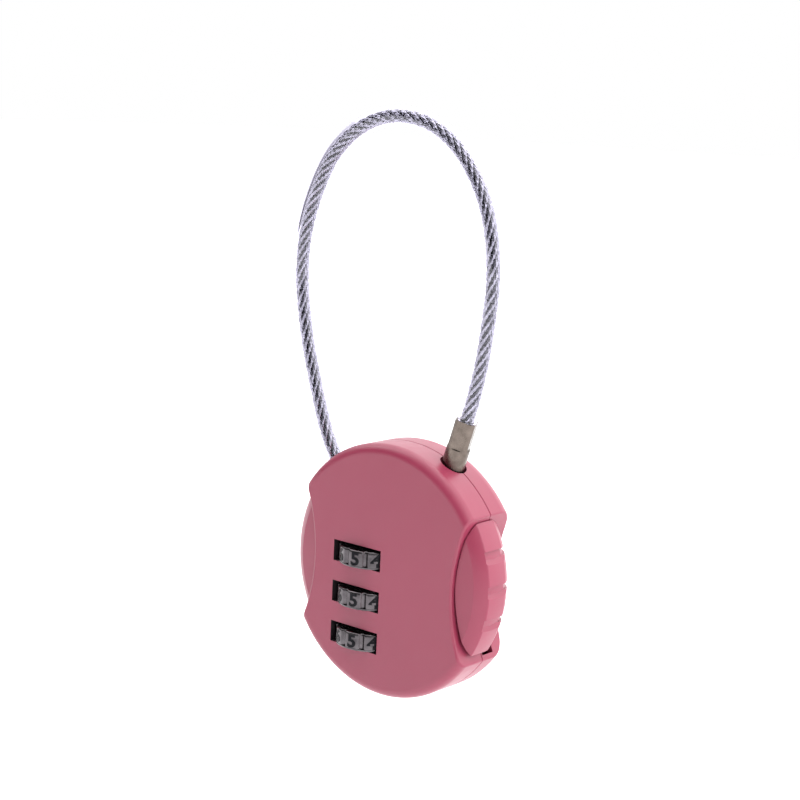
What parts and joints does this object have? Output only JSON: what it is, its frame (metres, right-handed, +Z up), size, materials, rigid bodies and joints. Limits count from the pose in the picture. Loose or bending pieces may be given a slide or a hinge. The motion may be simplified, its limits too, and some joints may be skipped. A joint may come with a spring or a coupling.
{
  "type": "cable luggage lock",
  "caption": "Round moulded luggage lock with number wheels in windows, ribbed pull-down side grips and a flexible steel cable loop whose free end pulls out.",
  "frame": {"origin": "centre of the round body, halfway between the rear face and the front of the number wheels", "axes": "+Z up towards the cable loop, -Y out of the front face with the number windows, +X to the side where the cable's free end plugs in"},
  "size_m": [0.0507, 0.0144, 0.1026],
  "materials": {
    "pink_shell": "satin moulded plastic, dusty rose",
    "pink_grip": "satin moulded plastic, dusty rose",
    "wheel_metal": "dark nickel",
    "nickel": "worn nickel, slightly warm",
    "wire_rope": "twisted bright steel",
    "clear_jacket": "clear flexible plastic",
    "zinc": "die-cast zinc",
    "steel": "bright steel",
    "spring_steel": "spring steel",
    "black_plastic": "black moulded plastic"
  },
  "bodies": {
    "housing": {"front_shell": "pink_shell", "rear_shell": "pink_shell", "dial_frame": "black_plastic", "detent_spring": "spring_steel", "latch_block": "zinc", "latch_spring": "spring_steel", "return_spring": "spring_steel", "reset_spring": "spring_steel", "cable_anchor": "zinc", "cable_core": "wire_rope", "cable_jacket": "clear_jacket", "case_screws": "steel"},
    "wheel_top": {"number_wheel_top": "wheel_metal"},
    "wheel_middle": {"number_wheel_middle": "wheel_metal"},
    "wheel_bottom": {"number_wheel_bottom": "wheel_metal"},
    "slider": {"slider_yoke": "zinc", "spindle": "steel", "left_grip": "pink_grip", "right_grip": "pink_grip", "grip_pins": "steel"},
    "cable_end": {"latch_plug": "nickel", "ferrule": "nickel"},
    "reset": {"reset_pin": "steel"},
    "sleeve_top": {"code_sleeve_top": "zinc"},
    "sleeve_middle": {"code_sleeve_middle": "zinc"},
    "sleeve_bottom": {"code_sleeve_bottom": "zinc"}
  },
  "joints": [
    {"name": "dial_top_turn", "type": "hinge", "parent": "housing", "child": "wheel_top", "pos_m": [-0.00554, -0.00091, 0.00185], "axis": [0, 0, 1], "continuous": true, "deforming": ["detent_spring"]},
    {"name": "dial_middle_turn", "type": "hinge", "parent": "housing", "child": "wheel_middle", "pos_m": [-0.00554, -0.00091, -0.00561], "axis": [0, 0, 1], "continuous": true, "deforming": ["detent_spring"]},
    {"name": "dial_bottom_turn", "type": "hinge", "parent": "housing", "child": "wheel_bottom", "pos_m": [-0.00554, -0.00091, -0.01307], "axis": [0, 0, 1], "continuous": true, "deforming": ["detent_spring"]},
    {"name": "slider_pull", "type": "slide", "parent": "housing", "child": "slider", "axis": [0, 0, -1], "range_m": [0, 0.0016], "stiffness_N_per_m": 800, "springref_m": -0.003, "deforming": ["return_spring", "latch_spring"]},
    {"name": "cable_end_release", "type": "slide", "parent": "housing", "child": "cable_end", "axis": [0.2909, 0, 0.9567], "range_m": [0, 0.012], "deforming": ["cable_core", "cable_jacket", "latch_spring"]},
    {"name": "reset_press", "type": "slide", "parent": "housing", "child": "reset", "axis": [0, 0, 1], "range_m": [0, 0.0012], "stiffness_N_per_m": 1000, "springref_m": -0.001, "deforming": ["reset_spring"]},
    {"name": "sleeve_top_lift", "type": "slide", "parent": "wheel_top", "child": "sleeve_top", "axis": [0, 0, 1], "range_m": [0, 0.0012]},
    {"name": "sleeve_middle_lift", "type": "slide", "parent": "wheel_middle", "child": "sleeve_middle", "axis": [0, 0, 1], "range_m": [0, 0.0012]},
    {"name": "sleeve_bottom_lift", "type": "slide", "parent": "wheel_bottom", "child": "sleeve_bottom", "axis": [0, 0, 1], "range_m": [0, 0.0012]}
  ],
  "couplings": [
    {"joint": "sleeve_top_lift", "follows": "reset_press", "ratio": 1},
    {"joint": "sleeve_middle_lift", "follows": "reset_press", "ratio": 1},
    {"joint": "sleeve_bottom_lift", "follows": "reset_press", "ratio": 1}
  ]
}
